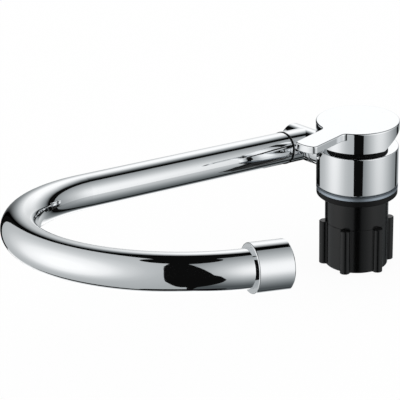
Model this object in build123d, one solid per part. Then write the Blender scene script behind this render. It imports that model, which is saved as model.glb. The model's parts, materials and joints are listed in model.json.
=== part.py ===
from build123d import *
import math
import os

# A folding single-lever caravan tap. The body stands on a worktop, a hollow bolt on its side
# carries a knuckle that folds, and a swan-neck spout swivels in that knuckle.
# Sizes are in millimetres. The origin is on the body's axis at the top of the worktop, +Z is up,
# +Y runs from the body to the hinge arm, and the folded spout lies along -X.

# General clearances and one overrun for every cut
overrun = 2.0
running_clearance = 0.05
seal_clearance = 0.02
assembly_clearance = 0.1

# Gasket and base ring under the body
gasket_thickness = 3.0
gasket_radius = 20.9
gasket_round = 0.6
base_ring_height = 2.5
base_ring_radius = 21.0
base_ring_round = 0.4
base_ring_lip_height = 2.0

# Chromed body shell and its hinge arm
body_radius = 21.0
body_height = 20.5
body_wall = 2.6
body_roof = 2.5
body_foot_round = 0.9
body_top_round = 0.5
roof_opening_radius = 15.7
hinge_rise = 10.9
arm_radius = 8.5
arm_end = 25.2
arm_blend = 0.8
arm_edge_round = 0.25

# Mounting shank, its web and the screws that hold it to the core
shank_collar_radius = 16.4
shank_radius = 14.95
shank_wall = 1.55
shank_length = 38.4
shank_web = 4.0
shank_edge_bevel = 0.6
tail_slot_width = 13.2
screw_radius = 1.45
screw_head_radius = 2.4
screw_head_height = 1.6
screw_grip = 3.4
screw_spread_x = 5.0
screw_spread_y = 9.1

# Clamp nut with six hand ribs
nut_drop = 15.0
nut_collar_gap = 0.1
nut_height = 23.9
nut_core_radius = 16.4
nut_rib_width = 5.2
nut_rib_tip_radius = 19.55
nut_rib_count = 6
nut_rib_azimuth = -36.5
nut_rib_root_round = 0.5
nut_foot_bevel = 0.7
nut_top_bevel = 0.3

# Brass core that holds the cartridge
core_floor = 4.0
core_port_radius = 3.0
core_ring_channel_depth = 0.85
core_ring_channel_height = 8.0
core_floor_channel_width = 3.6
core_floor_channel_depth = 2.0

# Inlet tails, a pair screwed into the core's floor
tail_spacing = 13.4
tail_thread_radius = 4.9
tail_thread_length = 2.8
tail_flange_radius = 6.2
tail_flange_height = 2.4
tail_radius = 5.9
tail_bore_radius = 3.4
tail_mouth_radius = 4.5
tail_mouth_depth = 12.0
tail_end_depth = 30.0
inlet_seal_thickness = 0.6

# Cartridge, from its base to its top
cartridge_radius = 12.65
cartridge_base_height = 2.4
port_seal_height = 0.8
port_seal_width = 0.9
inlet_port_radius = 1.7
inlet_port_x = 5.0
inlet_port_y = 2.2
outlet_port_radius = 2.0
outlet_port_y = 5.0
fixed_disc_radius = 9.35
ceramic_thickness = 2.0
moving_disc_radius = 7.5
moving_disc_pocket_radius = 3.6
moving_disc_pocket_depth = 1.0
carrier_height = 3.0
carrier_half_width = 5.85
carrier_waist_height = 1.9
carrier_mouth_radius = 2.7
housing_bore_radius = 9.4
housing_shoulder_rise = 9.8
housing_neck_radius = 10.9
housing_top_rise = 12.8
housing_roof = 1.0
cartridge_oring_section = 1.2
cartridge_oring_drop = 0.9

# Turret that turns with the lever, and the pin that the lever tilts on
turret_radius = 9.3
turret_plate = 2.3
turret_neck_radius = 7.6
turret_neck_height = 2.5
turret_leg_height = 2.4
turret_slot_front = 3.1
turret_slot_back = 4.8
pivot_pin_radius = 1.0
pivot_pin_length = 13.0
pivot_rise_in_plate = 2.5

# Cartridge nut and the black trim ring over it
cartridge_nut_radius = 14.4
cartridge_nut_height = 3.5
cartridge_nut_notch_width = 3.0
cartridge_nut_notch_depth = 1.2
cartridge_nut_notch_count = 4
trim_ring_radius = 15.6
trim_ring_height = 6.4
trim_ring_lip = 1.4
trim_ring_opening_radius = 11.5
trim_ring_bevel = 0.8

# Lever: a round cap with a flat tab, a hub inside it and a relief cut behind
lever_azimuth = 187.0
lever_gap = 2.9
cap_height = 10.9
cap_radius = 21.3
cap_wall = 2.3
cap_roof = 2.0
cap_edge_round = 0.7
cap_rim_bevel = 0.25
tab_reach = 44.7
tab_thickness = 3.8
tab_root_half_width = 6.6
tab_tip_half_width = 6.25
tab_tip_bow = 1.3
tab_root_round = 3.0
tab_corner_round = 2.4
tab_under_round = 0.4
relief_start = 5.5
relief_lip = 1.7
relief_bow = 2.1
hub_radius = 6.5
hub_drop = 3.2
spindle_square = 6.0
spindle_ball_radius = 1.4
spindle_ball_rise = 1.5
spindle_ball_clearance = 0.06
spindle_stem_radius = 1.2
spindle_barrel_radius = 2.4
spindle_top_depth = 3.4
grub_screw_radius = 1.8
grub_screw_rise = 5.3
grub_screw_socket_radius = 1.0
grub_screw_socket_depth = 1.5

# Hollow hinge bolt, along the hinge axis from the body outwards
hinge_offset = 37.9
bolt_nose_start = 14.6
bolt_nose_radius = 4.2
bolt_thread_start = 18.45
bolt_thread_radius = 6.0
bolt_flange_radius = 8.3
bolt_flange_width = 1.2
bolt_radius = 5.5
bolt_shoulder = 44.4
bolt_stud_radius = 3.0
bolt_stud_length = 2.7
bolt_bore_radius = 2.5
bolt_bore_end = 41.0
bolt_waist_radius = 4.6
bolt_port_radius = 1.6
bolt_port_count = 4
hinge_oring_section = 1.5
nose_oring_section = 1.0
hinge_oring_spread = 4.9
nose_oring_place = 16.5
thrust_washer_thickness = 0.5
thrust_washer_radius = 8.0
spacer_ring_width = 2.0
spacer_ring_radius = 8.45
spacer_ring_round = 0.3
spring_washer_thickness = 0.4
hinge_washer_thickness = 0.8
lock_nut_width = 10.0
lock_nut_height = 1.9

# Knuckle that folds on the bolt and holds the spout
knuckle_radius = 8.5
knuckle_far_end = 48.5
knuckle_far_round = 1.2
knuckle_chamber_radius = 6.6
knuckle_chamber_half_width = 2.8
knuckle_counterbore_radius = 7.15
knuckle_counterbore_start = 43.6
socket_radius = 8.4
socket_length = 15.9
socket_edge_round = 0.3
socket_pocket_start = 7.9
socket_port_radius = 2.6
end_cap_thickness = 1.2
end_cap_bevel = 0.4

# Swivel between knuckle and spout, along the long leg
seam_ring_width = 1.1
seam_ring_radius = 7.7
spigot_radius = 5.7
spigot_start = 8.0
spigot_bore_radius = 3.2
spigot_root_length = 7.3
swivel_oring_section = 1.5
swivel_oring_first = 9.6
swivel_oring_second = 12.2
clip_start = 14.0
clip_thickness = 0.8
clip_inner_radius = 4.95
clip_outer_radius = 6.45
clip_gap = 3.0

# Swan-neck spout: long leg, bend and short outlet leg
spout_tilt = 6.6
spout_roll = 5.3
tube_radius = 8.3
tube_wall = 1.2
long_leg_length = 149.0
bend_radius = 71.3
bend_angle = 159.6
outlet_leg_length = 17.0

# Aerator at the outlet, by depth from the outlet's face
collar_radius = 10.5
collar_length = 15.85
collar_face_bevel = 0.5
collar_rear_round = 0.5
collar_mouth_radius = 8.5
collar_lip = 1.2
collar_chamber_radius = 9.2
tube_end_depth = 8.3
insert_radius = 8.3
insert_flange_radius = 9.1
insert_flange_thickness = 1.4
insert_recess = 0.4
insert_face_thickness = 1.6
insert_wall = 0.9
insert_hole_radius = 0.95
insert_hole_pitch = 2.7
insert_hole_rings = 2
screen_thickness = 0.4
aerator_seal_thickness = 1.0

# Levels and places worked out from the sizes above
body_bottom = gasket_thickness + base_ring_height
body_top = body_bottom + body_height
hinge_height = body_bottom + hinge_rise
body_cavity_radius = body_radius - body_wall
core_radius = body_cavity_radius - assembly_clearance
core_bottom = body_bottom + base_ring_lip_height
core_top = body_top - body_roof
pocket_floor = core_bottom + core_floor
pocket_radius = cartridge_radius + assembly_clearance
shank_bore_radius = shank_radius - shank_wall
shank_pass_radius = shank_collar_radius + assembly_clearance
collar_bottom = nut_collar_gap - nut_drop
web_bottom = core_bottom - shank_web
ceramic_bottom = pocket_floor + cartridge_base_height
ceramic_joint = ceramic_bottom + ceramic_thickness
carrier_bottom = ceramic_joint + ceramic_thickness
carrier_top = carrier_bottom + carrier_height
turret_bottom = carrier_top + assembly_clearance
turret_plate_top = turret_bottom + turret_plate
turret_top = turret_plate_top + turret_neck_height
pivot_height = turret_bottom + pivot_rise_in_plate
housing_shoulder = pocket_floor + housing_shoulder_rise
housing_top = pocket_floor + housing_top_rise
cap_bottom = body_top + lever_gap
cap_top = cap_bottom + cap_height
hub_bottom = cap_bottom + hub_drop
tab_bottom = cap_top - tab_thickness
bolt_flange_end = arm_end + bolt_flange_width
spacer_start = bolt_flange_end + thrust_washer_thickness
spacer_end = spacer_start + spacer_ring_width
knuckle_near_end = spacer_end + thrust_washer_thickness
knuckle_bore_radius = bolt_radius + running_clearance
washer_start = bolt_shoulder
lock_nut_start = washer_start + hinge_washer_thickness
socket_bore_radius = spigot_radius + running_clearance
tube_start = socket_length + seam_ring_width
tube_bore_radius = tube_radius - tube_wall

# Frames of the hinge axis, the long leg and the outlet
hinge_centre = Vector(0, hinge_offset, hinge_height)
tilt = math.radians(spout_tilt)
roll = math.radians(spout_roll)
bend = math.radians(bend_angle)
leg_direction = Vector(-math.cos(tilt), 0, math.sin(tilt))
leg_up = Vector(math.sin(tilt), 0, math.cos(tilt))
outlet_side = Vector(0, -1, 0) * math.cos(roll) + leg_up * math.sin(roll)
hinge_frame = Plane(origin=(0, 0, hinge_height), x_dir=(-1, 0, 0), z_dir=(0, 1, 0)).location
leg_frame = Plane(origin=hinge_centre, x_dir=outlet_side, z_dir=leg_direction).location
outlet_direction = outlet_side * math.sin(bend) + leg_direction * math.cos(bend)
bend_side = bend_radius - bend_radius * math.cos(bend)
bend_along = long_leg_length + bend_radius * math.sin(bend)
bend_end = hinge_centre + outlet_side * bend_side + leg_direction * bend_along
outlet_centre = bend_end + outlet_direction * outlet_leg_length
outlet_frame = Plane(origin=outlet_centre, x_dir=leg_up, z_dir=-outlet_direction).location
lever_frame = Rotation(0, 0, lever_azimuth)


def disc(radius, low, high):
    """A round bar on the Z axis between two heights."""
    return Pos(0, 0, low) * extrude(Circle(radius), high - low)


def ring(outer, inner, low, high):
    """A round sleeve on the Z axis between two heights."""
    return Pos(0, 0, low) * extrude(Circle(outer) - Circle(inner), high - low)


def bar(width, depth, low, high):
    """A rectangular bar centred on the Z axis between two heights."""
    return Pos(0, 0, low) * extrude(Rectangle(width, depth), high - low)


def o_ring(outer, section, place):
    """A seal ring of round section whose outside has the radius given."""
    return Pos(0, 0, place) * Torus(outer - section / 2, section / 2)


def groove(outer, section, place):
    """The cut on a shaft in which a seal ring of that section lies, a little wider than it."""
    width = section + 2 * assembly_clearance
    return ring(outer + overrun, outer - section, place - width / 2, place + width / 2)


def outer_edges(shape, radius, height):
    """The circular edges of that radius at that height."""
    level = shape.edges().filter_by_position(Axis.Z, height, height, inclusive=(True, True))
    circles = level.filter_by(GeomType.CIRCLE)
    return circles.filter_by(lambda edge: abs(edge.radius - radius) < seal_clearance)


# Deck stack
def make_deck_gasket():
    gasket = ring(gasket_radius, shank_pass_radius, 0, gasket_thickness)
    return fillet(outer_edges(gasket, gasket_radius, 0), gasket_round)


def make_base_ring():
    foot = ring(base_ring_radius, shank_pass_radius, gasket_thickness, body_bottom)
    foot = fillet(outer_edges(foot, base_ring_radius, gasket_thickness), base_ring_round)
    lip = ring(core_radius, shank_pass_radius, gasket_thickness, core_bottom)
    return foot + lip


def make_valve_body():
    shell = disc(body_radius, body_bottom, body_top)
    shell = fillet(outer_edges(shell, body_radius, body_bottom), body_foot_round)
    arm = disc(arm_radius, 0, arm_end)
    arm = fillet(outer_edges(arm, arm_radius, arm_end), arm_edge_round)
    shell = shell + hinge_frame * arm
    root = shell.edges().filter_by(GeomType.BSPLINE)
    shell = fillet(root, arm_blend)
    shell = fillet(outer_edges(shell, body_radius, body_top), body_top_round)
    shell -= disc(body_cavity_radius, body_bottom - overrun, core_top)
    shell -= disc(roof_opening_radius, core_top - overrun, body_top + overrun)
    shell -= hinge_frame * disc(bolt_thread_radius, body_cavity_radius - overrun, arm_end + overrun)
    return shell


def make_mounting_shank():
    shank = ring(shank_collar_radius, shank_bore_radius, collar_bottom, core_bottom)
    shank += ring(shank_radius, shank_bore_radius, -shank_length, collar_bottom)
    web = disc(shank_bore_radius + assembly_clearance, web_bottom, core_bottom)
    slot = SlotOverall(tail_spacing + tail_slot_width, tail_slot_width)
    web -= Pos(0, 0, web_bottom - overrun) * extrude(slot, shank_web + 2 * overrun)
    screw_hole = disc(screw_radius, web_bottom - overrun, core_bottom + overrun)
    web -= [place * screw_hole for place in screw_places()]
    shank += web
    foot = outer_edges(shank, shank_radius, -shank_length)
    foot += outer_edges(shank, shank_bore_radius, -shank_length)
    return chamfer(foot, shank_edge_bevel)


def screw_places():
    """The four places of the screws between shank and core."""
    spots = [(x, y) for x in (-screw_spread_x, screw_spread_x) for y in (-screw_spread_y, screw_spread_y)]
    return [Pos(x, y, 0) for x, y in spots]


def make_shank_screws():
    head = disc(screw_head_radius, web_bottom - screw_head_height, web_bottom)
    shaft = disc(screw_radius, web_bottom, core_bottom + screw_grip)
    screw = head + shaft
    return Compound([place * screw for place in screw_places()])


def make_clamp_nut():
    nose_radius = nut_rib_width / 2
    nose_centre = nut_rib_tip_radius - nose_radius
    rib = Pos(nose_centre / 2, 0) * Rectangle(nose_centre, nut_rib_width)
    rib += Pos(nose_centre, 0) * Circle(nose_radius)
    plan = Circle(nut_core_radius)
    for index in range(nut_rib_count):
        plan += Rot(0, 0, nut_rib_azimuth + index * 360 / nut_rib_count) * rib
    plan = fillet(plan.vertices(), nut_rib_root_round)
    nut = Pos(0, 0, -nut_drop - nut_height) * extrude(plan, nut_height)
    foot = nut.faces().sort_by(Axis.Z)[0].outer_wire().edges()
    crown = nut.faces().sort_by(Axis.Z)[-1].outer_wire().edges()
    nut = chamfer(foot, nut_foot_bevel)
    nut = chamfer(crown, nut_top_bevel)
    bore = shank_radius + running_clearance
    return nut - disc(bore, -nut_drop - nut_height - overrun, -nut_drop + overrun)


# Core and inlets
def make_valve_core():
    core = disc(core_radius, core_bottom, core_top)
    core -= disc(pocket_radius, pocket_floor, core_top + overrun)
    core -= disc(cartridge_nut_radius, housing_shoulder, core_top + overrun)
    channel = pocket_radius + core_ring_channel_depth
    core -= disc(channel, pocket_floor, pocket_floor + core_ring_channel_height)
    start = outlet_port_y - outlet_port_radius
    bottom = pocket_floor - core_floor_channel_depth
    floor_channel = bar(core_floor_channel_width, channel - start, bottom, pocket_floor)
    core -= Pos(0, (start + channel) / 2, 0) * floor_channel
    core -= hinge_frame * disc(core_port_radius, 0, core_radius + overrun)
    core -= hinge_frame * disc(bolt_nose_radius + running_clearance, bolt_nose_start, core_radius + overrun)
    for side in (-1, 1):
        tail_axis = Pos(side * tail_spacing / 2, 0, 0)
        core -= tail_axis * disc(tail_thread_radius, core_bottom - overrun, core_bottom + tail_thread_length)
        port_axis = Pos(side * inlet_port_x, -inlet_port_y, 0)
        core -= port_axis * disc(inlet_port_radius, core_bottom, pocket_floor + overrun)
    screw_hole = disc(screw_radius, core_bottom - overrun, core_bottom + screw_grip)
    return core - [place * screw_hole for place in screw_places()]


def make_inlet_tail(side):
    flange_top = core_bottom - inlet_seal_thickness
    flange_bottom = flange_top - tail_flange_height
    tail = disc(tail_thread_radius, flange_top, core_bottom + tail_thread_length)
    tail += disc(tail_flange_radius, flange_bottom, flange_top)
    tail += disc(tail_radius, -tail_end_depth, flange_bottom)
    tail -= disc(tail_bore_radius, -tail_end_depth, core_bottom + tail_thread_length + overrun)
    tail -= disc(tail_mouth_radius, -tail_end_depth - overrun, -tail_end_depth + tail_mouth_depth)
    return Pos(side * tail_spacing / 2, 0, 0) * tail


def make_inlet_seals():
    seal = ring(tail_flange_radius, tail_thread_radius, core_bottom - inlet_seal_thickness, core_bottom)
    return Compound([Pos(side * tail_spacing / 2, 0, 0) * seal for side in (-1, 1)])


# Cartridge
def port_places():
    """Place and radius of the two inlet ports and the outlet port of the cartridge."""
    inlets = [(Pos(side * inlet_port_x, -inlet_port_y, 0), inlet_port_radius) for side in (-1, 1)]
    return inlets + [(Pos(0, outlet_port_y, 0), outlet_port_radius)]


def make_cartridge_base():
    base = disc(cartridge_radius, pocket_floor, ceramic_bottom)
    seal_top = pocket_floor + port_seal_height
    for place, radius in port_places():
        base -= place * disc(radius, pocket_floor - overrun, ceramic_bottom + overrun)
        base -= place * disc(radius + port_seal_width, pocket_floor - overrun, seal_top)
    return base


def make_port_seals():
    top = pocket_floor + port_seal_height
    seals = []
    for place, radius in port_places():
        seals.append(place * ring(radius + port_seal_width, radius, pocket_floor, top))
    return Compound(seals)


def make_fixed_ceramic_disc():
    plate = disc(fixed_disc_radius, ceramic_bottom, ceramic_joint)
    for place, radius in port_places():
        plate -= place * disc(radius, ceramic_bottom - overrun, ceramic_joint + overrun)
    return plate


def make_moving_ceramic_disc():
    plate = disc(moving_disc_radius, ceramic_joint, carrier_bottom)
    pocket_top = ceramic_joint + moving_disc_pocket_depth
    plate -= disc(moving_disc_pocket_radius, ceramic_joint - overrun, pocket_top)
    return lever_frame * plate


def make_disc_carrier():
    carrier = disc(moving_disc_radius, carrier_bottom, carrier_top)
    carrier &= bar(2 * moving_disc_radius, 2 * carrier_half_width, carrier_bottom, carrier_top)
    hole = spindle_ball_radius + spindle_ball_clearance
    carrier -= disc(hole, carrier_bottom - overrun, carrier_top + overrun)
    waist = carrier_bottom + carrier_waist_height
    mouth_height = carrier_top - waist
    mouth = Cone(hole, carrier_mouth_radius, mouth_height, align=(Align.CENTER, Align.CENTER, Align.MIN))
    return lever_frame * (carrier - Pos(0, 0, waist) * mouth)


def make_cartridge_housing():
    housing = disc(cartridge_radius, ceramic_bottom, housing_shoulder)
    housing += disc(housing_neck_radius, housing_shoulder, housing_top)
    housing -= disc(housing_bore_radius, ceramic_bottom - overrun, housing_top - housing_roof)
    housing -= disc(turret_neck_radius + running_clearance, housing_top - overrun, housing_top + overrun)
    seal_place = housing_shoulder - cartridge_oring_drop
    return housing - groove(pocket_radius - seal_clearance, cartridge_oring_section, seal_place)


def make_cartridge_oring():
    seal_place = housing_shoulder - cartridge_oring_drop
    return o_ring(pocket_radius - seal_clearance, cartridge_oring_section, seal_place)


def make_cartridge_nut():
    top = housing_shoulder + cartridge_nut_height
    nut = ring(cartridge_nut_radius, housing_neck_radius, housing_shoulder, top)
    notch_floor = top - cartridge_nut_notch_depth
    notch = bar(3 * cartridge_nut_radius, cartridge_nut_notch_width, notch_floor, top + overrun)
    for index in range(cartridge_nut_notch_count // 2):
        nut -= Rot(0, 0, index * 360 / cartridge_nut_notch_count) * notch
    return nut


def make_trim_ring():
    top = core_top + trim_ring_height
    trim = ring(trim_ring_radius, cartridge_nut_radius + assembly_clearance, core_top, top)
    trim += ring(trim_ring_radius, trim_ring_opening_radius, top - trim_ring_lip, top)
    return chamfer(outer_edges(trim, trim_ring_radius, top), trim_ring_bevel)


def make_cartridge_turret():
    turret = disc(turret_radius, turret_bottom, turret_plate_top)
    turret += disc(turret_neck_radius, turret_plate_top, turret_top)
    legs = disc(turret_radius, turret_bottom - turret_leg_height, turret_bottom)
    gap = 2 * (carrier_half_width + running_clearance)
    legs -= bar(3 * turret_radius, gap, turret_bottom - turret_leg_height, turret_bottom)
    turret += legs
    slot_length = turret_slot_front + turret_slot_back
    slot_width = spindle_square + 2 * running_clearance
    slot_middle = Pos((turret_slot_front - turret_slot_back) / 2, 0, 0)
    turret -= slot_middle * bar(slot_length, slot_width, turret_bottom - overrun, turret_top + overrun)
    return lever_frame * (turret - pivot_bar(pivot_pin_radius, 2 * turret_radius))


def pivot_bar(radius, length):
    """A round bar along the lever's tilt axis."""
    return Pos(0, 0, pivot_height) * Rot(90, 0, 0) * Cylinder(radius, length)


def make_pivot_pin():
    return lever_frame * pivot_bar(pivot_pin_radius, pivot_pin_length)


# Lever
def lever_plan():
    """The outline of cap and tab from above, with the tab along +X."""
    corner = tab_reach - tab_tip_bow
    root_low = (0, -tab_root_half_width)
    root_high = (0, tab_root_half_width)
    tip_low = (corner, -tab_tip_half_width)
    tip_high = (corner, tab_tip_half_width)
    sides = Line(root_high, root_low) + Line(root_low, tip_low) + Line(tip_high, root_high)
    tab = make_face(sides + ThreePointArc(tip_low, (tab_reach, 0), tip_high))
    plan = Circle(cap_radius) + tab
    plan = fillet(plan.vertices().sort_by(Axis.X)[-2:], tab_corner_round)
    return fillet(plan.vertices().sort_by(Axis.X)[:2], tab_root_round)


def relief_cut():
    """The space behind the cap's rim that lets the lever tilt back over the body."""
    back = -cap_radius - overrun
    start = (relief_start, cap_bottom)
    end = (back, cap_top - relief_lip)
    low = cap_bottom - overrun
    arc = SagittaArc(start, end, -relief_bow)
    sides = Polyline(end, (back, low), (relief_start, low), start)
    outline = make_face(Plane.XZ * (arc + sides))
    return extrude(outline, cap_radius + overrun, both=True)


def make_lever_handle():
    plate = Pos(0, 0, tab_bottom) * extrude(lever_plan(), tab_thickness)
    underside = plate.faces().sort_by(Axis.Z)[0].edges()
    tab_begin = cap_radius + tab_root_round
    plate = fillet(underside.filter_by(lambda edge: edge.center().X > tab_begin), tab_under_round)
    handle = plate + disc(cap_radius, cap_bottom, cap_top)
    handle = fillet(handle.faces().sort_by(Axis.Z)[-1].edges(), cap_edge_round)
    handle = chamfer(outer_edges(handle, cap_radius, cap_bottom), cap_rim_bevel)
    handle -= relief_cut()
    handle -= disc(cap_radius - cap_wall, cap_bottom - overrun, cap_top - cap_roof)
    handle += disc(hub_radius, hub_bottom, cap_top - cap_roof)
    handle -= bar(spindle_square, spindle_square, hub_bottom - overrun, cap_top - spindle_top_depth)
    handle -= grub_screw_axis() * disc(grub_screw_radius, 0, cap_radius + overrun)
    return lever_frame * handle


def grub_screw_axis():
    """Along +X from the body's axis, at the height of the grub screw."""
    return Plane(origin=(0, 0, cap_bottom + grub_screw_rise), x_dir=(0, 1, 0), z_dir=(1, 0, 0)).location


def make_grub_screw():
    screw = disc(grub_screw_radius, spindle_square / 2, hub_radius)
    socket = RegularPolygon(grub_screw_socket_radius, 6)
    screw -= Pos(0, 0, hub_radius - grub_screw_socket_depth) * extrude(socket, grub_screw_socket_depth)
    return lever_frame * grub_screw_axis() * screw


def make_lever_spindle():
    ball_height = carrier_bottom + spindle_ball_rise
    spindle = Pos(0, 0, ball_height) * Sphere(spindle_ball_radius)
    spindle += disc(spindle_stem_radius, ball_height, pivot_height)
    spindle += pivot_bar(spindle_barrel_radius, spindle_square)
    spindle += bar(spindle_square, spindle_square, pivot_height, cap_top - spindle_top_depth)
    spindle -= pivot_bar(pivot_pin_radius + running_clearance, spindle_square + overrun)
    return lever_frame * spindle


# Hinge bolt and what is stacked on it
def make_hinge_bolt():
    bolt = disc(bolt_nose_radius, bolt_nose_start, bolt_thread_start)
    bolt += disc(bolt_thread_radius, bolt_thread_start, arm_end)
    bolt += disc(bolt_flange_radius, arm_end, bolt_flange_end)
    bolt += disc(bolt_radius, bolt_flange_end, bolt_shoulder)
    bolt += disc(bolt_stud_radius, bolt_shoulder, bolt_shoulder + bolt_stud_length)
    waist_low = hinge_offset - knuckle_chamber_half_width
    waist_high = hinge_offset + knuckle_chamber_half_width
    bolt -= ring(bolt_radius + overrun, bolt_waist_radius, waist_low, waist_high)
    bolt -= disc(bolt_bore_radius, bolt_nose_start - overrun, bolt_bore_end)
    for index in range(bolt_port_count // 2):
        turn = Rot(0, 0, index * 360 / bolt_port_count)
        bolt -= turn * Pos(0, 0, hinge_offset) * Rot(90, 0, 0) * Cylinder(bolt_port_radius, 3 * bolt_radius)
    for place in hinge_oring_places():
        bolt -= groove(knuckle_bore_radius - seal_clearance, hinge_oring_section, place)
    nose_bore = bolt_nose_radius + running_clearance - seal_clearance
    bolt -= groove(nose_bore, nose_oring_section, nose_oring_place)
    return hinge_frame * bolt


def hinge_oring_places():
    """Where the two knuckle seals lie along the hinge axis."""
    return [hinge_offset - hinge_oring_spread, hinge_offset + hinge_oring_spread]


def make_hinge_orings():
    outer = knuckle_bore_radius - seal_clearance
    seals = [o_ring(outer, hinge_oring_section, place) for place in hinge_oring_places()]
    nose_bore = bolt_nose_radius + running_clearance - seal_clearance
    seals.append(o_ring(nose_bore, nose_oring_section, nose_oring_place))
    return hinge_frame * Compound(seals)


def make_thrust_washers():
    inner = ring(thrust_washer_radius, knuckle_bore_radius, bolt_flange_end, spacer_start)
    outer = ring(thrust_washer_radius, knuckle_bore_radius, spacer_end, knuckle_near_end)
    return hinge_frame * Compound([inner, outer])


def make_spacer_ring():
    spacer = ring(spacer_ring_radius, knuckle_bore_radius, spacer_start, spacer_end)
    spacer = fillet(outer_edges(spacer, spacer_ring_radius, spacer_start), spacer_ring_round)
    spacer = fillet(outer_edges(spacer, spacer_ring_radius, spacer_end), spacer_ring_round)
    return hinge_frame * spacer


def make_spring_washer():
    """A dished ring that presses the knuckle against the thrust washers."""
    inside = bolt_radius + assembly_clearance
    outside = knuckle_counterbore_radius - assembly_clearance
    low = knuckle_counterbore_start
    high = washer_start
    points = [
        (inside, high - spring_washer_thickness),
        (outside, low),
        (outside, low + spring_washer_thickness),
        (inside, high),
    ]
    outline = make_face(Plane.XZ * Polyline(*points, close=True))
    return hinge_frame * revolve(outline, Axis.Z)


def make_hinge_washer():
    outside = knuckle_counterbore_radius - assembly_clearance
    return hinge_frame * ring(outside, bolt_stud_radius, washer_start, lock_nut_start)


def make_hinge_lock_nut():
    plan = RegularPolygon(lock_nut_width / 2, 6, major_radius=False) - Circle(bolt_stud_radius)
    return hinge_frame * Pos(0, 0, lock_nut_start) * extrude(plan, lock_nut_height)


# Knuckle
def make_knuckle_housing():
    barrel = disc(knuckle_radius, knuckle_near_end, knuckle_far_end)
    barrel = fillet(outer_edges(barrel, knuckle_radius, knuckle_far_end), knuckle_far_round)
    socket = disc(socket_radius, 0, socket_length)
    socket = fillet(outer_edges(socket, socket_radius, socket_length), socket_edge_round)
    knuckle = hinge_frame * barrel + leg_frame * socket
    knuckle -= hinge_frame * disc(knuckle_bore_radius, knuckle_near_end - overrun, knuckle_far_end)
    low = hinge_offset - knuckle_chamber_half_width
    high = hinge_offset + knuckle_chamber_half_width
    knuckle -= hinge_frame * disc(knuckle_chamber_radius, low, high)
    past_end = knuckle_far_end + overrun
    knuckle -= hinge_frame * disc(knuckle_counterbore_radius, knuckle_counterbore_start, past_end)
    knuckle -= leg_frame * disc(socket_port_radius, 0, socket_pocket_start + overrun)
    knuckle -= leg_frame * disc(socket_bore_radius, socket_pocket_start, socket_length + overrun)
    clip_low = clip_start - assembly_clearance
    clip_high = clip_start + clip_thickness + assembly_clearance
    clip_room = disc(clip_outer_radius + assembly_clearance, clip_low, clip_high)
    return knuckle - leg_frame * clip_room


def make_knuckle_end_cap():
    radius = knuckle_counterbore_radius - running_clearance
    cap = disc(radius, knuckle_far_end - end_cap_thickness, knuckle_far_end)
    return hinge_frame * chamfer(outer_edges(cap, radius, knuckle_far_end), end_cap_bevel)


def make_seam_ring():
    return leg_frame * ring(seam_ring_radius, socket_bore_radius, socket_length, tube_start)


# Spout
def spout_path():
    """The centre line in the long leg's frame, from the knuckle to the tube's end."""
    top = (0, long_leg_length)
    bend_finish = (bend_side, bend_along)
    last = outlet_leg_length - tube_end_depth
    end = (bend_side + last * math.sin(bend), bend_along + last * math.cos(bend))
    halfway = bend / 2
    middle_side = bend_radius - bend_radius * math.cos(halfway)
    middle = (middle_side, long_leg_length + bend_radius * math.sin(halfway))
    line = Line((0, tube_start), top) + ThreePointArc(top, middle, bend_finish) + Line(bend_finish, end)
    return Plane.XZ * line


def make_spout_tube():
    path = spout_path()
    start = Plane(origin=(0, 0, tube_start), z_dir=(0, 0, 1))
    outside = sweep(start * Circle(tube_radius), path=path)
    inside = sweep(start * Circle(tube_bore_radius), path=path)
    return leg_frame * (outside - inside)


def make_spout_spigot():
    spigot = disc(spigot_radius, spigot_start, tube_start)
    spigot += disc(tube_bore_radius, tube_start, tube_start + spigot_root_length)
    spigot -= disc(spigot_bore_radius, spigot_start - overrun, tube_start + spigot_root_length + overrun)
    for place in (swivel_oring_first, swivel_oring_second):
        spigot -= groove(socket_bore_radius - seal_clearance, swivel_oring_section, place)
    clip_high = clip_start + clip_thickness
    spigot -= ring(spigot_radius + overrun, clip_inner_radius, clip_start, clip_high)
    return leg_frame * spigot


def make_swivel_orings():
    outer = socket_bore_radius - seal_clearance
    places = (swivel_oring_first, swivel_oring_second)
    return leg_frame * Compound([o_ring(outer, swivel_oring_section, place) for place in places])


def make_swivel_clip():
    clip_high = clip_start + clip_thickness
    clip = ring(clip_outer_radius, clip_inner_radius, clip_start, clip_high)
    opening = bar(clip_outer_radius, clip_gap, clip_start, clip_high)
    return leg_frame * (clip - Pos(clip_outer_radius, 0, 0) * opening)


# Aerator
def make_aerator_collar():
    collar = disc(collar_radius, 0, collar_length)
    collar = chamfer(outer_edges(collar, collar_radius, 0), collar_face_bevel)
    collar = fillet(outer_edges(collar, collar_radius, collar_length), collar_rear_round)
    collar -= disc(collar_mouth_radius, -overrun, collar_lip + overrun)
    collar -= disc(collar_chamber_radius, collar_lip, tube_end_depth)
    collar -= disc(tube_radius, tube_end_depth - overrun, collar_length + overrun)
    return outlet_frame * collar


def hole_places():
    """Holes of the stream former, in rings of six, twelve and so on round the middle one."""
    spots = [(0, 0)]
    for level in range(1, insert_hole_rings + 1):
        for side in range(6):
            start_angle = math.radians(60 * side)
            next_angle = math.radians(60 * side + 120)
            for step in range(level):
                x = level * math.cos(start_angle) + step * math.cos(next_angle)
                y = level * math.sin(start_angle) + step * math.sin(next_angle)
                spots.append((x * insert_hole_pitch, y * insert_hole_pitch))
    return [Pos(x, y) for x, y in spots]


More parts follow.
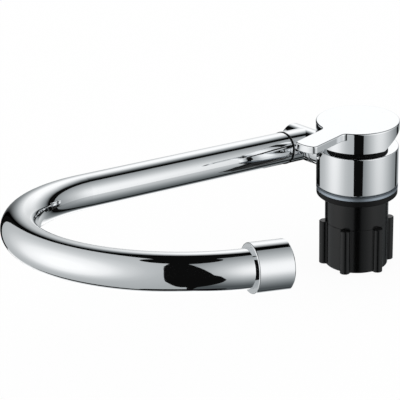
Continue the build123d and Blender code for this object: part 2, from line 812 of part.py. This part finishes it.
def make_aerator_insert():
    flange_high = tube_end_depth - aerator_seal_thickness
    flange_low = flange_high - insert_flange_thickness
    face_high = insert_recess + insert_face_thickness
    insert = disc(insert_radius, insert_recess, flange_high)
    insert += disc(insert_flange_radius, flange_low, flange_high)
    insert -= disc(insert_radius - insert_wall, face_high, flange_high + overrun)
    holes = Sketch() + [place * Circle(insert_hole_radius) for place in hole_places()]
    insert -= Pos(0, 0, insert_recess - overrun) * extrude(holes, insert_face_thickness + 2 * overrun)
    return outlet_frame * insert


def make_aerator_screen():
    low = insert_recess + insert_face_thickness
    return outlet_frame * disc(insert_radius - insert_wall, low, low + screen_thickness)


def make_aerator_seal():
    low = tube_end_depth - aerator_seal_thickness
    return outlet_frame * ring(insert_flange_radius, tube_bore_radius, low, tube_end_depth)


pieces = {
    "deck_gasket": make_deck_gasket(),
    "base_ring": make_base_ring(),
    "valve_body": make_valve_body(),
    "mounting_shank": make_mounting_shank(),
    "shank_screws": make_shank_screws(),
    "clamp_nut": make_clamp_nut(),
    "valve_core": make_valve_core(),
    "cold_inlet_tail": make_inlet_tail(1),
    "hot_inlet_tail": make_inlet_tail(-1),
    "inlet_seals": make_inlet_seals(),
    "cartridge_base": make_cartridge_base(),
    "port_seals": make_port_seals(),
    "fixed_ceramic_disc": make_fixed_ceramic_disc(),
    "moving_ceramic_disc": make_moving_ceramic_disc(),
    "disc_carrier": make_disc_carrier(),
    "cartridge_housing": make_cartridge_housing(),
    "cartridge_oring": make_cartridge_oring(),
    "cartridge_nut": make_cartridge_nut(),
    "trim_ring": make_trim_ring(),
    "cartridge_turret": make_cartridge_turret(),
    "pivot_pin": make_pivot_pin(),
    "lever_handle": make_lever_handle(),
    "lever_spindle": make_lever_spindle(),
    "grub_screw": make_grub_screw(),
    "hinge_bolt": make_hinge_bolt(),
    "hinge_orings": make_hinge_orings(),
    "thrust_washers": make_thrust_washers(),
    "spacer_ring": make_spacer_ring(),
    "spring_washer": make_spring_washer(),
    "hinge_washer": make_hinge_washer(),
    "hinge_lock_nut": make_hinge_lock_nut(),
    "knuckle_housing": make_knuckle_housing(),
    "knuckle_end_cap": make_knuckle_end_cap(),
    "seam_ring": make_seam_ring(),
    "spout_tube": make_spout_tube(),
    "spout_spigot": make_spout_spigot(),
    "swivel_orings": make_swivel_orings(),
    "swivel_clip": make_swivel_clip(),
    "aerator_collar": make_aerator_collar(),
    "aerator_insert": make_aerator_insert(),
    "aerator_screen": make_aerator_screen(),
    "aerator_seal": make_aerator_seal(),
}

os.makedirs("parts", exist_ok=True)
for name, piece in pieces.items():
    export_step(piece, f"parts/{name}.step")
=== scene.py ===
import bpy
import json
import math
from mathutils import Matrix, Vector

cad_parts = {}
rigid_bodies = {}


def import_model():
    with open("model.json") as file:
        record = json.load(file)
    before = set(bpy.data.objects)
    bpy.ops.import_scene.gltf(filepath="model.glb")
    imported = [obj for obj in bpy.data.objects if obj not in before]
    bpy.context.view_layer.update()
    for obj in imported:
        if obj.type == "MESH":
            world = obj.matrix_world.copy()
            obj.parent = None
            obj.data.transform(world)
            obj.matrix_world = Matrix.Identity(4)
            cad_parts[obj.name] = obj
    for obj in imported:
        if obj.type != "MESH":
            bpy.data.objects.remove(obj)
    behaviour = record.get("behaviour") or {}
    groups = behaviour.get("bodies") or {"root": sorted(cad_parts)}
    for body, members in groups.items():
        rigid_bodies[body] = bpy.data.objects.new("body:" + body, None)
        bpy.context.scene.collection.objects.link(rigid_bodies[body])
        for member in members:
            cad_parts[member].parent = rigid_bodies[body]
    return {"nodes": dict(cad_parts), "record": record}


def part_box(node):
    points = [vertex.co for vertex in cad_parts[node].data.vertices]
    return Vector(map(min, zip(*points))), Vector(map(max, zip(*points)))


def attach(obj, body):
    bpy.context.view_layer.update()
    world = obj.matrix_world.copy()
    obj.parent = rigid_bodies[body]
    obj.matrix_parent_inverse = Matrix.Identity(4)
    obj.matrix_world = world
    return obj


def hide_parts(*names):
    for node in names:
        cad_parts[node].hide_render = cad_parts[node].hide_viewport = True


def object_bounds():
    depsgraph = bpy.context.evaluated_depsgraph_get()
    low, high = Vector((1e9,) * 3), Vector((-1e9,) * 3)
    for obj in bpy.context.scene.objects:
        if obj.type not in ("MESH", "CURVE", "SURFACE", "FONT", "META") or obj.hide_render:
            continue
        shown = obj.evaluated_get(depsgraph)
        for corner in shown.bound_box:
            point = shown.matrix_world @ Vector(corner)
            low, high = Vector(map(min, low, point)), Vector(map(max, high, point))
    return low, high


# A folding caravan tap, folded flat, in a soft light tent.
# Lengths are in metres and in the frame of the solids. Azimuths and elevations are in degrees.

for leftover in list(bpy.data.objects):
    bpy.data.objects.remove(leftover)
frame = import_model()
nodes = frame["nodes"]
cad_low, cad_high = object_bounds()

# The camera, fitted to the photograph
camera_place = Vector((-0.571455, -0.529772, 0.335729))
camera_yaw = math.radians(48.8089)
camera_pitch = math.radians(-23.5664)
camera_roll = math.radians(-1.6)
camera_lens_mm = 147.11
sensor_mm = 36.0
camera_clip = (0.01, 100.0)

# Finishes: the part of the noise's range that is used, its detail, and how much coarser the
# noise of the colour is than the noise of the roughness
noise_range = (0.25, 0.75)
fine_detail = 3.0
broad_detail = 2.0
broad_factor = 12
# The sockets of a Mix node that hold colours
mix_first, mix_second, mix_result = 6, 7, 2

# The soft black ring between knuckle and tube
leg_direction = Vector((-0.993373, 0.0, 0.114937))
seam_radii = (0.0072, 0.00855)
seam_width = 0.0015
corner_share = 0.22
corner_steps = 6
ring_segments = 96
sharp_angle = math.radians(40)

# The light tent, and the place on the spout from which its panels were measured
tent_radius = 3.6
tent_segments = 64
tent_rings = 32
tent_dark = 0.004
tent_eye = Vector((-0.2, -0.08, 0.02))
panel_columns = 48
panel_rows = 32
panel_strength = 1.09
cool_powers = (1.05, 1.0, 0.98)
# A leaning panel starts to lean below this elevation
lean_start = -30.0

# The black flag between the left and right panels, as the spout sees it: elevation, then the
# azimuths of its two edges. The distances are those of the two edges.
flag_edges = [
    (84.0, 213.0, 247.0), (70.0, 213.5, 246.5), (60.0, 214.0, 246.5), (48.0, 216.0, 247.0),
    (32.0, 217.5, 248.0), (10.0, 218.0, 249.5), (0.0, 218.0, 253.5), (-10.0, 218.0, 255.0),
    (-20.0, 218.0, 257.0), (-33.0, 219.5, 256.0), (-45.0, 221.0, 252.5), (-54.0, 222.5, 248.0),
    (-60.0, 226.0, 243.0)]
flag_distances = (0.55, 0.5)

# The small flag behind the hinge arm, as the arm's underside sees it: elevation, then the
# azimuths of its left edge, middle and right edge
hinge_eye = Vector((-0.006, 0.033, 0.011))
hinge_flag_edges = [(-26.0, 68.0, 44.0, 20.0), (-40.0, 72.0, 46.0, 20.0),
                    (-44.0, 90.0, 55.0, 20.0), (-58.0, 95.0, 57.5, 20.0)]
hinge_flag_distances = (0.035, 0.035, 0.035)

# The floor: half its side, its gap under the lowest solid, its grey, and the share of plain
# white in what the camera sees of it
floor_reach = 6.0
floor_gap = 0.0002
floor_grey = 0.96
floor_glow_share = 0.93


# Node helpers
def new_material(name):
    """An empty node material, its tree and its output."""
    material = bpy.data.materials.new(name)
    material.use_nodes = True
    material.node_tree.nodes.clear()
    output = material.node_tree.nodes.new("ShaderNodeOutputMaterial")
    return material, material.node_tree, output


def add(tree, kind, **settings):
    """A node of that kind. A setting is one of its properties, or the value of an input."""
    node = tree.nodes.new(kind)
    for key, value in settings.items():
        if hasattr(node, key):
            setattr(node, key, value)
        else:
            node.inputs[key.replace("_", " ")].default_value = value
    return node


def ramp(tree, value, stops, powers=(1.0, 1.0, 1.0)):
    """A colour ramp of greys over the value. The powers tint the darker greys."""
    node = tree.nodes.new("ShaderNodeValToRGB")
    elements = node.color_ramp.elements
    while len(elements) < len(stops):
        elements.new(0.5)
    for element, (place, grey) in zip(elements, stops):
        element.position = place
        element.color = (*[grey ** power for power in powers], 1.0)
    tree.links.new(value, node.inputs["Fac"])
    return node.outputs["Color"]


def noise(tree, scale, detail):
    """Noise over the object's own coordinates, in features per metre."""
    place = tree.nodes.new("ShaderNodeTexCoord")
    texture = add(tree, "ShaderNodeTexNoise", Scale=scale, Detail=detail)
    tree.links.new(place.outputs["Object"], texture.inputs["Vector"])
    return texture.outputs["Fac"]


def spread(tree, value, low, high):
    """The used part of the noise's range, spread from low to high."""
    node = add(tree, "ShaderNodeMapRange", From_Min=noise_range[0], From_Max=noise_range[1],
               To_Min=low, To_Max=high)
    tree.links.new(value, node.inputs["Value"])
    return node.outputs["Result"]


def bump(tree, value, strength, distance):
    """A normal that gives the value as relief."""
    node = add(tree, "ShaderNodeBump", Strength=strength, Distance=distance)
    tree.links.new(value, node.inputs["Height"])
    return node.outputs["Normal"]


def tint(tree, value, first, second):
    """A colour between two, by the value."""
    node = add(tree, "ShaderNodeMix", data_type="RGBA")
    node.inputs[mix_first].default_value = (*first, 1.0)
    node.inputs[mix_second].default_value = (*second, 1.0)
    tree.links.new(value, node.inputs["Factor"])
    return node.outputs[mix_result]


def product(tree, first, second):
    """Two colours multiplied."""
    both = add(tree, "ShaderNodeVectorMath", operation="MULTIPLY")
    tree.links.new(first, both.inputs[0])
    tree.links.new(second, both.inputs[1])
    return both.outputs["Vector"]


def shade_line(tree, colour, stops, low, high):
    """The colour darkened by height over the mounting plane, as painted shade. Heights are in
    millimetres.
    """
    place = tree.nodes.new("ShaderNodeTexCoord")
    parts = tree.nodes.new("ShaderNodeSeparateXYZ")
    height = add(tree, "ShaderNodeMapRange", From_Min=low / 1000, From_Max=high / 1000)
    tree.links.new(place.outputs["Object"], parts.inputs["Vector"])
    tree.links.new(parts.outputs["Z"], height.inputs["Value"])
    shares = [((level - low) / (high - low), grey) for level, grey in stops]
    return product(tree, colour, ramp(tree, height.outputs["Result"], shares))


def surface(name, colours, roughness, metallic, grain, relief, specular=0.5, line=None):
    """A material whose colour, roughness and relief vary with noise.

    The relief is a strength and a distance, or None. The line is the painted shade that shade_line
    takes.
    """
    material, tree, output = new_material(name)
    shader = add(tree, "ShaderNodeBsdfPrincipled", Metallic=metallic, Specular_IOR_Level=specular)
    fine = noise(tree, grain, fine_detail)
    broad = noise(tree, grain / broad_factor, broad_detail)
    colour = tint(tree, broad, *colours)
    if line:
        colour = shade_line(tree, colour, *line)
    tree.links.new(colour, shader.inputs["Base Color"])
    tree.links.new(spread(tree, fine, *roughness), shader.inputs["Roughness"])
    if relief:
        tree.links.new(bump(tree, fine, *relief), shader.inputs["Normal"])
    tree.links.new(shader.outputs["BSDF"], output.inputs["Surface"])
    return material


# Finishes, one for each material slot of the record
# The plated base has painted shade: a dark line just under its top edge, where the chrome body
# above shades it, and a slightly darker foot. These are heights and shares of its colour.
plate_painted_shade = ([(3.0, 0.9), (3.3, 1.0), (4.3, 1.0), (4.8, 0.5), (5.1, 0.28), (5.3, 0.4),
               (5.5, 0.55)], 3.0, 5.5)
finishes = {
    "chrome": surface(
        "chrome_plate", ((0.91, 0.92, 0.93), (0.89, 0.905, 0.92)),
        (0.02, 0.045), 1.0, 900.0, None),
    "black_plastic": surface(
        "black_plastic", ((0.0006, 0.0006, 0.0006), (0.0014, 0.0014, 0.0014)),
        (0.16, 0.25), 0.0, 4200.0, (0.05, 0.0002), 0.46),
    "satin_plate": surface(
        "satin_plate", ((0.45, 0.51, 0.575), (0.49, 0.55, 0.615)),
        (0.36, 0.46), 1.0, 3000.0, (0.04, 0.0002), line=plate_painted_shade),
    "rubber": surface(
        "black_rubber", ((0.0025, 0.0025, 0.0027), (0.0045, 0.0045, 0.0048)),
        (0.3, 0.42), 0.0, 3500.0, (0.12, 0.0002), 0.18),
    "brass": surface(
        "turned_brass", ((0.80, 0.60, 0.28), (0.72, 0.53, 0.25)),
        (0.18, 0.3), 1.0, 1500.0, (0.05, 0.0001)),
    "white_plastic": surface(
        "white_plastic", ((0.80, 0.80, 0.76), (0.74, 0.74, 0.70)),
        (0.35, 0.5), 0.0, 2500.0, (0.06, 0.0001)),
    "ceramic": surface(
        "white_ceramic", ((0.88, 0.86, 0.82), (0.84, 0.82, 0.78)),
        (0.12, 0.2), 0.0, 2000.0, None),
    "steel": surface(
        "stainless_steel", ((0.58, 0.57, 0.55), (0.52, 0.51, 0.5)),
        (0.25, 0.38), 1.0, 1800.0, (0.05, 0.0001)),
    "insert_plastic": surface(
        "insert_plastic", ((0.42, 0.44, 0.46), (0.38, 0.4, 0.42)),
        (0.35, 0.5), 0.0, 2600.0, (0.08, 0.0001)),
}
slot_of = {part["node"]: part["material_slot"] for part in frame["record"]["subparts"]}
for name, node in nodes.items():
    node.data.materials.clear()
    node.data.materials.append(finishes[slot_of[name]])

# The trim ring and the ring between knuckle and tube are duller than the rest of their slots
dull_black = surface(
    "dull_black_plastic", ((0.002, 0.002, 0.002), (0.0035, 0.0035, 0.0035)),
    (0.5, 0.65), 0.0, 4200.0, (0.05, 0.0002), 0.15)
nodes["trim_ring"].data.materials[0] = dull_black


# Mesh helpers
def direction(azimuth, elevation):
    """The unit vector at that azimuth and elevation."""
    flat = math.cos(math.radians(elevation))
    return Vector((flat * math.cos(math.radians(azimuth)), flat * math.sin(math.radians(azimuth)),
                   math.sin(math.radians(elevation))))


def add_mesh(name, points, faces, material):
    """An object of those points and faces, in the scene."""
    mesh = bpy.data.meshes.new(name)
    mesh.from_pydata(points, [], faces)
    mesh.materials.append(material)
    thing = bpy.data.objects.new(name, mesh)
    bpy.context.scene.collection.objects.link(thing)
    return thing


def patch_faces(rows, columns):
    """The faces of a patch whose points are listed row by row."""
    faces = []
    for row in range(rows):
        for column in range(columns):
            first = row * (columns + 1) + column
            faces.append((first, first + 1, first + columns + 2, first + columns + 1))
    return faces


def round_ring(name, centre, axis, radii, width, material):
    """A ring about the axis, with an inner and an outer radius and round outer corners."""
    inner, outer = radii
    corner = width * corner_share
    profile = []
    for side in (-1, 1):
        for step in range(corner_steps + 1):
            turn = math.pi / 2 * step / corner_steps
            if side < 0:
                profile.append((-width / 2 + corner - corner * math.cos(turn),
                                outer - corner + corner * math.sin(turn)))
            else:
                profile.append((width / 2 - corner + corner * math.sin(turn),
                                outer - corner + corner * math.cos(turn)))
    profile += [(width / 2, inner), (-width / 2, inner)]
    across = axis.orthogonal().normalized()
    beside = axis.cross(across)
    points, faces = [], []
    for segment in range(ring_segments):
        turn = 2 * math.pi * segment / ring_segments
        spoke = across * math.cos(turn) + beside * math.sin(turn)
        points += [centre + axis * along + spoke * radius for along, radius in profile]
    count = len(profile)
    for segment in range(ring_segments):
        here, there = segment * count, (segment + 1) % ring_segments * count
        for step in range(count):
            after = (step + 1) % count
            faces.append((here + step, here + after, there + after, there + step))
    thing = add_mesh(name, points, faces, material)
    for face in thing.data.polygons:
        face.use_smooth = True
    thing.data.set_sharp_from_angle(angle=sharp_angle)
    return thing


def make_seam_line():
    """The soft black ring between knuckle and tube, proud of the tube as in the photograph."""
    low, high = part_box("seam_ring")
    centre = (Vector(low) + Vector(high)) / 2
    piece = round_ring("seam_line", centre, leg_direction, seam_radii, seam_width, dull_black)
    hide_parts("seam_ring")
    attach(piece, "knuckle")


# The light tent: three soft panels and a pale ground in a dark sphere, with two black flags
def emission(name):
    """An emission material, its tree and its emission node."""
    material, tree, output = new_material(name)
    light = tree.nodes.new("ShaderNodeEmission")
    tree.links.new(light.outputs["Emission"], output.inputs["Surface"])
    return material, tree, light


def seen_in_metal_only(thing):
    """A tent piece is stage: it shows in reflections, and neither blocks the camera nor shades."""
    thing.visible_camera = False
    thing.visible_diffuse = False
    thing.visible_transmission = False
    thing.visible_shadow = False


def round_level(tree, place, middle, stops):
    """The level by the angle from the panel's middle, as a round soft box gives it."""
    dot = add(tree, "ShaderNodeVectorMath", operation="DOT_PRODUCT")
    dot.inputs[1].default_value = direction(*middle)
    angle = add(tree, "ShaderNodeMath", operation="ARCCOSINE")
    share = add(tree, "ShaderNodeMath", operation="DIVIDE")
    share.inputs[1].default_value = math.pi / 2
    tree.links.new(place, dot.inputs[0])
    tree.links.new(dot.outputs["Value"], angle.inputs[0])
    tree.links.new(angle.outputs["Value"], share.inputs[0])
    shares = [(degrees / 90.0, level) for degrees, level in stops]
    return ramp(tree, share.outputs["Value"], shares, cool_powers)


def tall_level(tree, place, across, upward):
    """The level by azimuth and by elevation, as a tall soft box gives it."""
    parts = tree.nodes.new("ShaderNodeSeparateXYZ")
    azimuth = add(tree, "ShaderNodeMath", operation="ARCTAN2")
    turn = add(tree, "ShaderNodeMath", operation="DIVIDE")
    turn.inputs[1].default_value = math.pi / 2
    rise = add(tree, "ShaderNodeMath", operation="ARCSINE")
    climb = add(tree, "ShaderNodeMath", operation="MULTIPLY_ADD")
    climb.inputs[1].default_value = 1 / math.pi
    climb.inputs[2].default_value = 0.5
    tree.links.new(place, parts.inputs["Vector"])
    tree.links.new(parts.outputs["Y"], azimuth.inputs[0])
    tree.links.new(parts.outputs["X"], azimuth.inputs[1])
    tree.links.new(azimuth.outputs["Value"], turn.inputs[0])
    tree.links.new(parts.outputs["Z"], rise.inputs[0])
    tree.links.new(rise.outputs["Value"], climb.inputs[0])
    turns = [(degrees / 90.0, level) for degrees, level in across]
    climbs = [(degrees / 180.0 + 0.5, level) for degrees, level in upward]
    return product(tree, ramp(tree, turn.outputs["Value"], turns, cool_powers),
                   ramp(tree, climb.outputs["Value"], climbs, cool_powers))


def soft_panel(name, azimuths, elevations, centre, radius, level, *settings, lean=0.0):
    """A patch of a sphere, cut to the azimuths and elevations at which the spout sees it.

    Its light is level(tree, place, *settings), with the place on the sphere as a unit vector.
    Below lean_start its first edge moves lean degrees in for each degree down.
    """
    points = []
    start = tent_eye - centre
    for row in range(panel_rows + 1):
        elevation = elevations[0] + (elevations[1] - elevations[0]) * row / panel_rows
        edge = azimuths[0] + lean * max(0.0, lean_start - elevation)
        for column in range(panel_columns + 1):
            ray = direction(edge + (azimuths[1] - edge) * column / panel_columns, elevation)
            along = start.dot(ray)
            reach = math.sqrt(along * along - start.length_squared + radius * radius) - along
            points.append(start + ray * reach)
    material, tree, light = emission(name)
    place = tree.nodes.new("ShaderNodeTexCoord")
    unit = add(tree, "ShaderNodeVectorMath", operation="NORMALIZE")
    tree.links.new(place.outputs["Object"], unit.inputs[0])
    tree.links.new(level(tree, unit.outputs["Vector"], *settings), light.inputs["Color"])
    light.inputs["Strength"].default_value = panel_strength
    panel = add_mesh(name, points, patch_faces(panel_rows, panel_columns), material)
    panel.location = centre
    seen_in_metal_only(panel)


def black_patch(name, eye, edges, distances, material):
    """A flag as the eye sees it: at each elevation, a point at each azimuth and its distance."""
    points = []
    for elevation, *azimuths in edges:
        for azimuth, distance in zip(azimuths, distances):
            points.append(eye + direction(azimuth, elevation) * distance)
    flag = add_mesh(name, points, patch_faces(len(edges) - 1, len(distances) - 1), material)
    seen_in_metal_only(flag)


def make_tent():
    """The dark sphere, then the panels and flags in it."""
    material, tree, light = emission("tent_cloth")
    light.inputs["Color"].default_value = (1.0, 1.0, 1.0, 1.0)
    light.inputs["Strength"].default_value = tent_dark
    bpy.ops.mesh.primitive_uv_sphere_add(
        segments=tent_segments, ring_count=tent_rings, radius=tent_radius)
    cloth = bpy.context.object
    cloth.name = "tent"
    cloth.data.materials.append(material)
    seen_in_metal_only(cloth)
    soft_panel(
        "panel_left", (80.0, 230.0), (-76.0, 76.0), Vector((-0.221, -0.144, -0.262)), 0.85,
        round_level, (145.4, 23.2),
        [(0.0, 1.0), (14.0, 1.0), (20.0, 0.95), (30.0, 0.86), (40.0, 0.65), (50.0, 0.52),
         (60.0, 0.46), (75.0, 0.43), (90.0, 0.4)], lean=1.0)
    soft_panel(
        "panel_right", (240.0, 361.0), (-78.0, 73.0), Vector((-0.276, -0.223, -0.186)), 1.0,
        round_level, (302.0, 21.0),
        [(0.0, 1.0), (10.0, 0.97), (20.0, 0.93), (25.0, 0.88), (32.0, 0.74), (40.0, 0.57),
         (50.0, 0.42), (60.0, 0.3), (75.0, 0.17), (90.0, 0.08)])
    soft_panel(
        "panel_back", (4.0, 72.0), (-78.0, 56.0), Vector((0.0, 0.0, 0.0)), 3.0,
        tall_level,
        [(4.0, 0.0), (10.0, 0.3), (20.0, 0.62), (30.0, 0.92), (36.0, 1.0), (49.0, 1.0),
         (56.0, 0.68), (62.0, 0.4), (72.0, 0.0)],
        [(-75.0, 0.1), (-40.0, 0.33), (-30.0, 0.4), (-20.0, 0.62), (0.0, 0.7), (10.0, 0.86),
         (19.0, 1.0), (31.0, 0.98), (41.0, 0.6), (52.0, 0.0)])
    soft_panel(
        "pale_ground", (28.0, 86.0), (-86.0, -28.0), Vector((0.0, 0.0, 0.0)), 2.6,
        tall_level,
        [(28.0, 0.4), (42.0, 1.0), (72.0, 1.0), (86.0, 0.6)],
        [(-86.0, 0.8), (-80.0, 1.0), (-32.0, 1.0), (-28.0, 0.7)])
    black_patch("black_flag", tent_eye, flag_edges, flag_distances, material)
    black_patch("hinge_flag", hinge_eye, hinge_flag_edges, hinge_flag_distances, material)


def make_floor():
    """A pale floor under the clamp nut. It keeps the soft shadow and shows white to the camera."""
    material, tree, output = new_material("pale_floor")
    diffuse = add(tree, "ShaderNodeBsdfDiffuse", Color=(floor_grey, floor_grey, floor_grey, 1.0))
    white = add(tree, "ShaderNodeEmission", Color=(1.0, 1.0, 1.0, 1.0), Strength=1.0)
    path = tree.nodes.new("ShaderNodeLightPath")
    glow = add(tree, "ShaderNodeMath", operation="MULTIPLY")
    glow.inputs[1].default_value = floor_glow_share
    mix = tree.nodes.new("ShaderNodeMixShader")
    tree.links.new(path.outputs["Is Camera Ray"], glow.inputs[0])
    tree.links.new(glow.outputs["Value"], mix.inputs["Fac"])
    tree.links.new(diffuse.outputs["BSDF"], mix.inputs[1])
    tree.links.new(white.outputs["Emission"], mix.inputs[2])
    tree.links.new(mix.outputs["Shader"], output.inputs["Surface"])
    level = cad_low.z - floor_gap
    corners = [(along * floor_reach, across * floor_reach, level)
               for along, across in ((-1, -1), (1, -1), (1, 1), (-1, 1))]
    floor = add_mesh("floor", corners, [(0, 1, 2, 3)], material)
    floor.visible_glossy = False


def make_world():
    """Even white light, at which a colour renders as it is written. The camera sees it as white."""
    world = bpy.data.worlds.new("studio")
    bpy.context.scene.world = world
    world.use_nodes = True
    background = world.node_tree.nodes["Background"]
    background.inputs["Color"].default_value = (1.0, 1.0, 1.0, 1.0)
    background.inputs["Strength"].default_value = 1.0


def make_camera():
    """The camera at its place, turned by yaw, pitch and roll."""
    data = bpy.data.cameras.new("camera")
    data.sensor_width = sensor_mm
    data.lens = camera_lens_mm
    data.clip_start, data.clip_end = camera_clip
    camera = bpy.data.objects.new("camera", data)
    flat = math.cos(camera_pitch)
    forward = Vector((flat * math.cos(camera_yaw), flat * math.sin(camera_yaw),
                      math.sin(camera_pitch)))
    level = Vector((math.sin(camera_yaw), -math.cos(camera_yaw), 0.0))
    upright = level.cross(forward)
    right = level * math.cos(camera_roll) + upright * math.sin(camera_roll)
    upward = upright * math.cos(camera_roll) - level * math.sin(camera_roll)
    camera.location = camera_place
    camera.rotation_euler = Matrix((right, upward, -forward)).transposed().to_euler()
    bpy.context.scene.collection.objects.link(camera)
    bpy.context.scene.camera = camera


make_seam_line()
make_tent()
make_floor()
make_world()
make_camera()
bpy.context.scene.view_settings.view_transform = "Standard"
